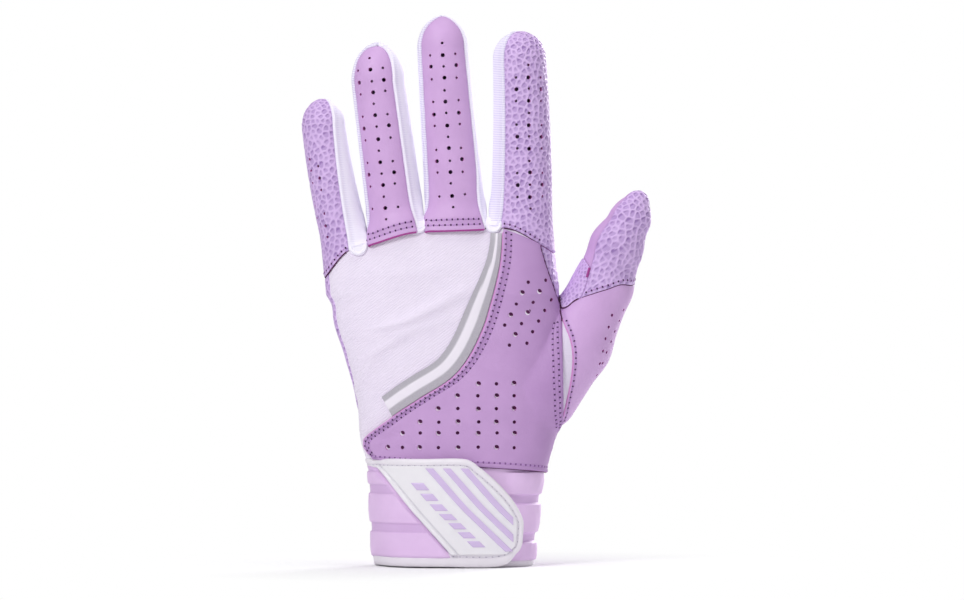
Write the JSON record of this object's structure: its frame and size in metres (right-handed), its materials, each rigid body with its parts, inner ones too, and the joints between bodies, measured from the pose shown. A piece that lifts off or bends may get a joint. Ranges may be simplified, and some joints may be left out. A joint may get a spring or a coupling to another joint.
{
  "type": "batting glove",
  "caption": "Left-hand batting glove with perforated leather back, stretch knuckle panel, pebbled grip leather and a padded wrist strap.",
  "frame": {"origin": "under the middle of the glove's box, on the plane of the cuff hem", "axes": "+Z from the cuff to the fingertips, -Y out of the back of the hand, +X towards the thumb"},
  "size_m": [0.1392, 0.0486, 0.2213],
  "materials": {
    "smooth_leather": "smooth matte with a soft sheen",
    "pebbled_leather": "embossed pebble grain",
    "stretch_fabric": "stretch twill",
    "fourchette_fabric": "fine stretch knit",
    "trim_film": "satin transfer film",
    "padded_leather": "smooth matte, quilted",
    "lining_fabric": "brushed knit",
    "binding_tape": "folded synthetic tape",
    "tab_rubber": "moulded, satin",
    "stripe_rubber": "moulded, satin",
    "hook_and_loop": "hook and loop"
  },
  "bodies": {
    "hand": {"back_stretch_panel": "stretch_fabric", "back_leather_overlay": "smooth_leather", "knuckle_trim_band": "trim_film", "palm_panel": "pebbled_leather", "thumb_gusset": "stretch_fabric", "cuff_band": "padded_leather", "cuff_lining": "lining_fabric", "cuff_hem_binding": "binding_tape", "loop_patch": "hook_and_loop"},
    "pinky": {"pinky_wrap": "pebbled_leather", "pinky_fourchette": "fourchette_fabric"},
    "ring": {"ring_back": "smooth_leather", "ring_fourchette_inner": "fourchette_fabric", "ring_palm": "pebbled_leather", "ring_fourchette_outer": "fourchette_fabric"},
    "middle": {"middle_back": "smooth_leather", "middle_fourchette_inner": "fourchette_fabric", "middle_palm": "pebbled_leather", "middle_fourchette_outer": "fourchette_fabric"},
    "index": {"index_wrap": "pebbled_leather", "index_fourchette": "fourchette_fabric"},
    "thumb": {"thumb_back": "smooth_leather", "thumb_tip": "pebbled_leather", "thumb_crotch_strip": "pebbled_leather", "thumb_inner_strip": "smooth_leather", "thumb_palm": "pebbled_leather"},
    "flap": {"flap_shell": "padded_leather", "flap_binding": "binding_tape", "tab_panel": "tab_rubber", "tab_stripe_1": "stripe_rubber", "tab_stripe_2": "stripe_rubber", "tab_stripe_3": "stripe_rubber", "hook_patch": "hook_and_loop"}
  },
  "joints": [
    {"name": "pinky_bend", "type": "hinge", "parent": "hand", "child": "pinky", "pos_m": [-0.0528, 0.0136, 0.1234], "axis": [-0.9823, 0, -0.1875], "range_deg": [0, 75], "stiffness_Nm_per_rad": 0.02},
    {"name": "ring_bend", "type": "hinge", "parent": "hand", "child": "ring", "pos_m": [-0.0315, 0.0149, 0.1332], "axis": [-0.9917, 0, -0.1288], "range_deg": [0, 75], "stiffness_Nm_per_rad": 0.02},
    {"name": "middle_bend", "type": "hinge", "parent": "hand", "child": "middle", "pos_m": [-0.0079, 0.0152, 0.1354], "axis": [-0.997, 0, -0.0771], "range_deg": [0, 75], "stiffness_Nm_per_rad": 0.02},
    {"name": "index_bend", "type": "hinge", "parent": "hand", "child": "index", "pos_m": [0.0172, 0.0151, 0.1336], "axis": [-1, 0, -0.0056], "range_deg": [0, 75], "stiffness_Nm_per_rad": 0.02},
    {"name": "thumb_swing", "type": "hinge", "parent": "hand", "child": "thumb", "pos_m": [0.033, 0.0227, 0.08], "axis": [0, 0, 1], "range_deg": [0, 40], "stiffness_Nm_per_rad": 0.02},
    {"name": "flap_open", "type": "hinge", "parent": "hand", "child": "flap", "pos_m": [-0.0432, 0.00321, 0.02], "axis": [0.046, 0, -0.9989], "range_deg": [0, 120]}
  ]
}
